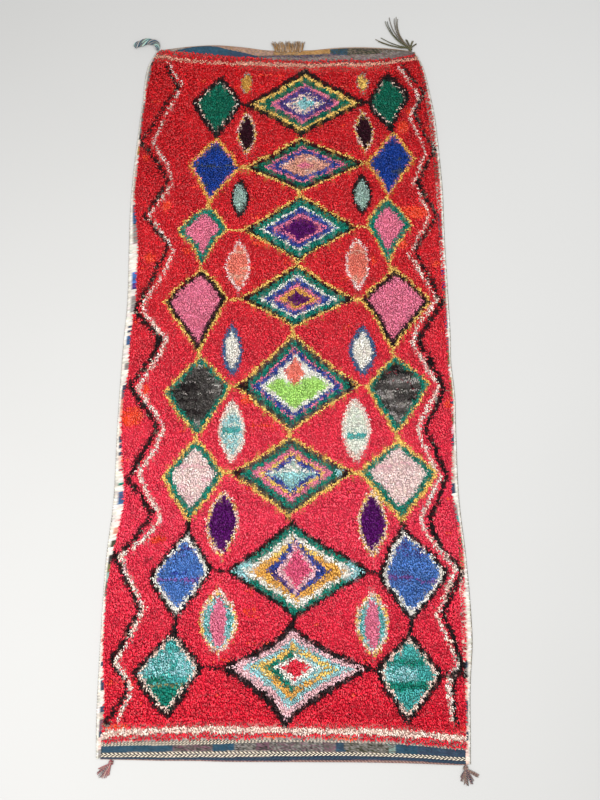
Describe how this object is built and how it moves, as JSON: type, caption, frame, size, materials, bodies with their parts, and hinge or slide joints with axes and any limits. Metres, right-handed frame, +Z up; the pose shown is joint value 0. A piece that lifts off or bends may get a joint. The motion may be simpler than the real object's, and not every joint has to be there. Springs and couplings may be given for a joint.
{
  "type": "boucherouite rug",
  "caption": "Long hand-knotted rag rug with a shaggy red pile in a lozenge and zigzag pattern, flat-woven ends, overcast sides and loose corner yarns, lying flat.",
  "frame": {"origin": "middle of the rug's flat underside, level with the floor", "axes": "+X across the rug to its right side as seen from its near end, +Y along it to its far end, +Z up out of the pile"},
  "size_m": [1.3109, 3.0595, 0.0207],
  "materials": {
    "pile": "matt knotted rag and wool pile",
    "selvedge": "matt overcast wool",
    "corner_yarn": "matt loose wool yarn",
    "grey_yarn": "matt twisted wool yarn",
    "warp_yarn": "matt uncut warp ends"
  },
  "bodies": {
    "root": {"rug": "pile", "selvedge_left": "selvedge", "selvedge_right": "selvedge", "tassel_near_left": "corner_yarn", "tassel_near_right": "corner_yarn", "tassel_far_left": "grey_yarn", "tassel_far_right": "grey_yarn", "warp_tuft": "warp_yarn"}
  },
  "joints": []
}
